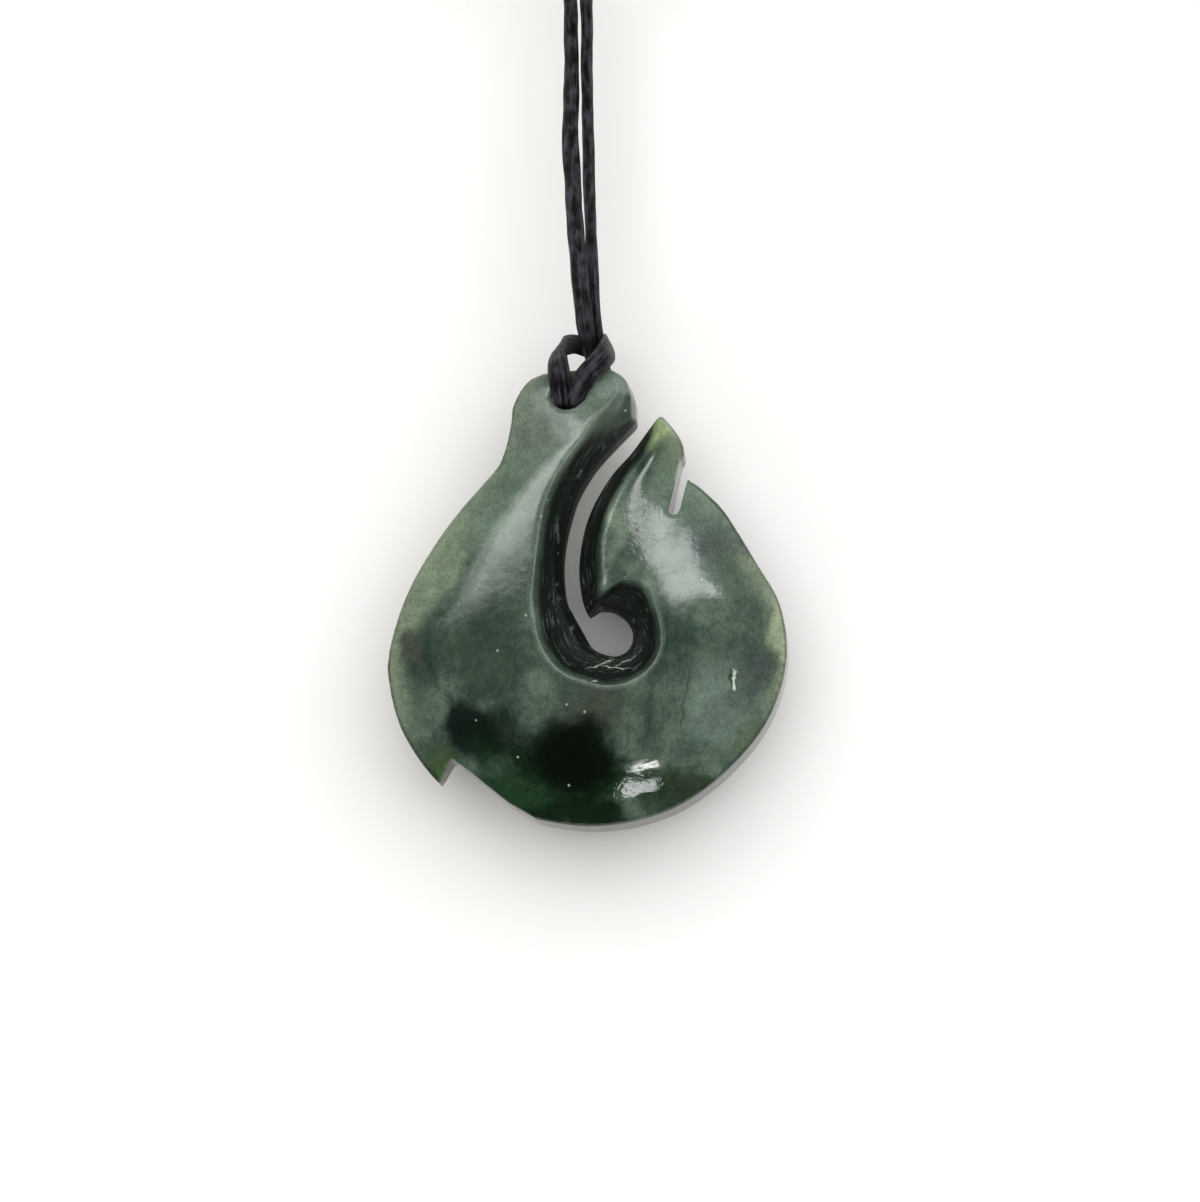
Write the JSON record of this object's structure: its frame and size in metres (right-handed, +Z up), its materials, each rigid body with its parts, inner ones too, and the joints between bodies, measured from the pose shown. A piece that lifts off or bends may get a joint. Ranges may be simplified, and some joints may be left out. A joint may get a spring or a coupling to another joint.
{
  "type": "hei matau pendant",
  "caption": "Carved, polished greenstone fish-hook pendant with a slot, an eye and a notched spur, hung from a closed loop of black waxed cord by a lark's head hitch.",
  "frame": {"origin": "the hang point at the nape, on the underside of the knot that closes the cord", "axes": "+Z up, against the hang; -Y towards the viewer, the hook's polished front; +X to the viewer's right"},
  "size_m": [0.1182, 0.0093, 0.1751],
  "materials": {
    "greenstone": "polished, mottled deep green nephrite",
    "waxed_cord": "black braided waxed cord, slightly glossy"
  },
  "bodies": {
    "root": {"hook_pendant": "greenstone", "cord": "waxed_cord", "closing_knot": "waxed_cord"}
  },
  "joints": []
}
